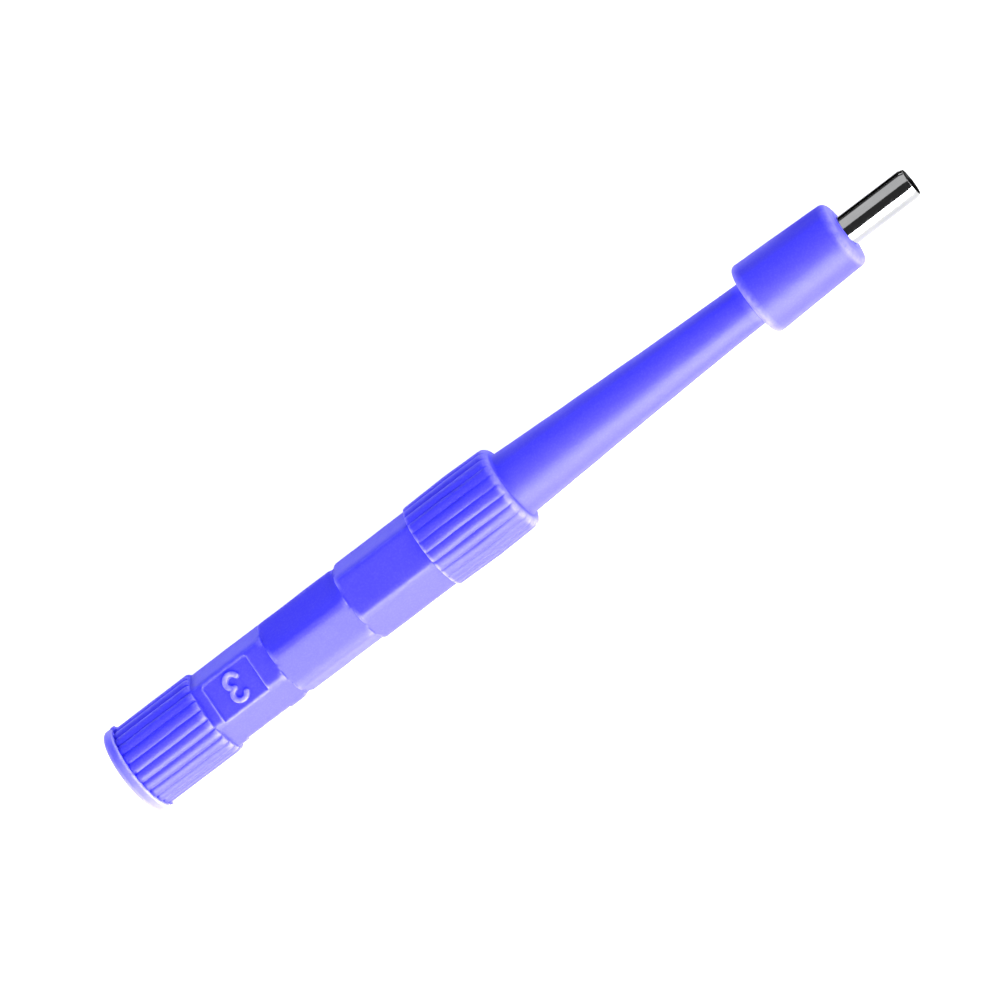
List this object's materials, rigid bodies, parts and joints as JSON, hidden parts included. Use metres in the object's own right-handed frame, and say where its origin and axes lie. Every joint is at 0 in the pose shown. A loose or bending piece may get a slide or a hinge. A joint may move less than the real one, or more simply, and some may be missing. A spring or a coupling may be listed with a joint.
{
  "type": "skin biopsy punch",
  "caption": "Slim hand-held punch: a ribbed and hexagonal moulded handle that tapers to a round head, which holds a short thin-walled steel cutting tube.",
  "frame": {"origin": "centre of the flat butt face, which is the rear face of the end cap", "axes": "+X along the punch from the butt to the cutting edge; +Z is the outward normal of the facet with the size digit"},
  "size_m": [0.1, 0.01, 0.01],
  "materials": {
    "handle_plastic": "satin blue-violet moulding",
    "cap_plastic": "satin lilac moulding",
    "polished_steel": "polished stainless steel"
  },
  "bodies": {
    "root": {"handle": "handle_plastic", "end_cap": "cap_plastic", "cutting_tube": "polished_steel"}
  },
  "joints": []
}
